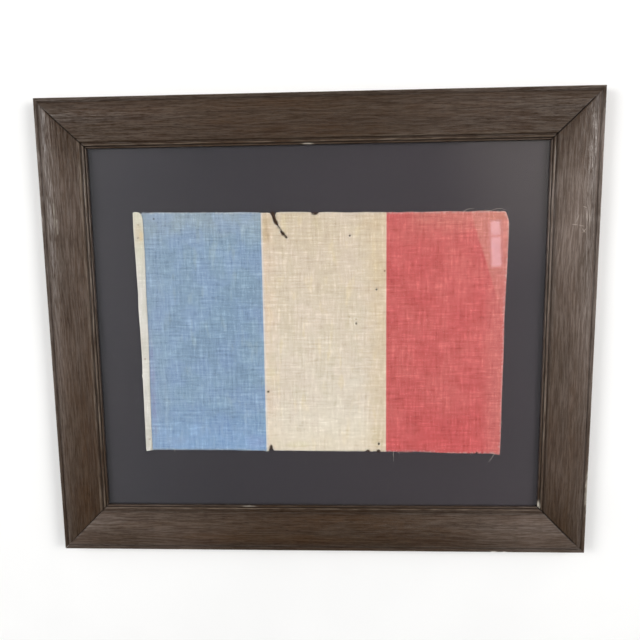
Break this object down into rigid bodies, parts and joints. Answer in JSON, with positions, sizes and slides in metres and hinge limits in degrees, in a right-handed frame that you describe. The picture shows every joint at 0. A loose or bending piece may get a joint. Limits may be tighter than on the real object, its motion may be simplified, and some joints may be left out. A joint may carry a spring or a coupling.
{
  "type": "framed tattered flag",
  "caption": "Worn printed cotton flag in blue, cream and red with a torn head edge, laid flat on a grey board behind glass in a wide dark oak frame.",
  "frame": {"origin": "middle of the flat back, on the surface that the frame lies on", "axes": "+X along the flag from its hoist to its fly, +Y from its foot to its head, +Z out of its face"},
  "size_m": [0.88, 0.747, 0.028],
  "materials": {
    "oak": "dark brown stained oak, waxed and rubbed pale at its edges",
    "backing": "plain brown hardboard",
    "board": "matte dark grey mount board",
    "glass": "clear picture glass",
    "cloth": "open plain-weave cotton printed in three bands, blue, bare cream and red, faded and stained",
    "tape": "close unbleached cotton tape"
  },
  "bodies": {
    "root": {"rail_bottom": "oak", "rail_right": "oak", "rail_top": "oak", "rail_left": "oak", "backing_board": "backing", "mount_board": "board", "glazing": "glass", "flag": "cloth", "hoist_heading": "tape"}
  },
  "joints": []
}
